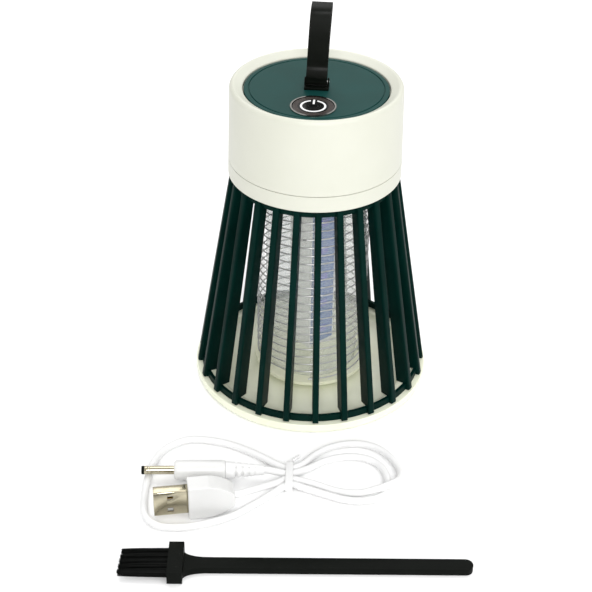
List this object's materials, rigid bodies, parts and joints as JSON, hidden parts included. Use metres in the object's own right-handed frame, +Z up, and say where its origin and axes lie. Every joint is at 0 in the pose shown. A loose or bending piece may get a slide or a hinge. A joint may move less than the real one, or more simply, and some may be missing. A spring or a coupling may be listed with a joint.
{
  "type": "electric bug zapper",
  "caption": "Rechargeable table lamp insect killer: slatted cage round a lit wire grid, white head with push button and strap, twist-off tray, charging lead and brush.",
  "frame": {"origin": "centre of the lamp's underside, on its axis", "axes": "+Z up along the lamp's axis, -Y towards the side with the power button, +Y towards the charging socket at the back"},
  "size_m": [0.135, 0.1983, 0.1738],
  "materials": {
    "ivory_shell": "satin",
    "teal_panel": "satin",
    "green_cage": "semi-gloss",
    "white_tray": "gloss",
    "white_plastic": "satin",
    "frosted_tube": "prismatic",
    "grid_steel": "bright wire",
    "chrome_trim": "polished",
    "screw_steel": "zinc plated",
    "black_strap": "matt",
    "black_plastic": "satin",
    "button_black": "gloss",
    "icon_white": "printed",
    "board_green": "solder mask",
    "board_lilac": "coated",
    "led_purple": "clear resin",
    "copper_coil": "enamelled wire",
    "core_grey": "ferrite",
    "cap_red": "dipped",
    "cell_wrap": "shrink wrapped cell",
    "contact_nickel": "nickel plated",
    "wire_red": "insulated",
    "lead_white": "satin",
    "plug_white": "gloss",
    "brush_black": "satin",
    "bristle_black": "nylon bristle"
  },
  "bodies": {
    "lamp": {"head_housing": "ivory_shell", "head_lower_ring": "ivory_shell", "head_screws": "screw_steel", "top_panel": "teal_panel", "button_bezel": "chrome_trim", "tact_switch": "black_plastic", "strap_anchor": "black_plastic", "strap_pin": "screw_steel", "control_board": "board_green", "board_screws": "screw_steel", "hv_transformer": "copper_coil", "transformer_core": "core_grey", "hv_capacitor": "cap_red", "board_chips": "black_plastic", "battery_cell": "cell_wrap", "battery_cradle": "black_plastic", "battery_contacts": "contact_nickel", "dc_jack": "black_plastic", "jack_pin": "contact_nickel", "grid_leads": "wire_red", "grid_top_disc": "white_plastic", "grid_foot_disc": "white_plastic", "grid_posts": "white_plastic", "grid_wire_live": "grid_steel", "grid_wire_return": "grid_steel", "light_tube": "frosted_tube", "led_column": "white_plastic", "led_boards": "board_lilac", "uv_leds": "led_purple", "cage_top_ring": "green_cage", "cage_slats": "green_cage", "cage_low_ring": "green_cage"},
    "button": {"power_button": "button_black", "button_icon": "icon_white", "switch_plunger": "black_plastic"},
    "strap": {"strap_loop": "black_strap"},
    "tray": {"base_tray": "white_tray"},
    "lead": {"usb_shell": "chrome_trim", "usb_tongue": "white_plastic", "usb_grip": "plug_white", "dc_barrel": "chrome_trim", "dc_tip": "black_plastic", "dc_grip": "plug_white", "dc_relief": "lead_white", "charging_cord": "lead_white", "cord_tie": "lead_white"},
    "brush": {"brush_handle": "brush_black", "brush_tufts": "bristle_black"}
  },
  "joints": [
    {"name": "button_press", "type": "slide", "parent": "lamp", "child": "button", "axis": [0, 0, 1], "range_m": [-0.0008, 0], "stiffness_N_per_m": 800},
    {"name": "strap_fold", "type": "hinge", "parent": "lamp", "child": "strap", "pos_m": [0, 0, 0.1406], "axis": [1, 0, 0], "range_deg": [-75, 75], "stiffness_Nm_per_rad": 0.004},
    {"name": "tray_twist", "type": "hinge", "parent": "lamp", "child": "tray", "pos_m": [0, 0, 0], "axis": [0, 0, 1], "range_deg": [0, 20]},
    {"name": "lead_lift", "type": "slide", "parent": "lamp", "child": "lead", "axis": [0, 0, 1], "range_m": [0, 0.06]},
    {"name": "brush_lift", "type": "slide", "parent": "lamp", "child": "brush", "axis": [0, 0, 1], "range_m": [0, 0.06]}
  ]
}
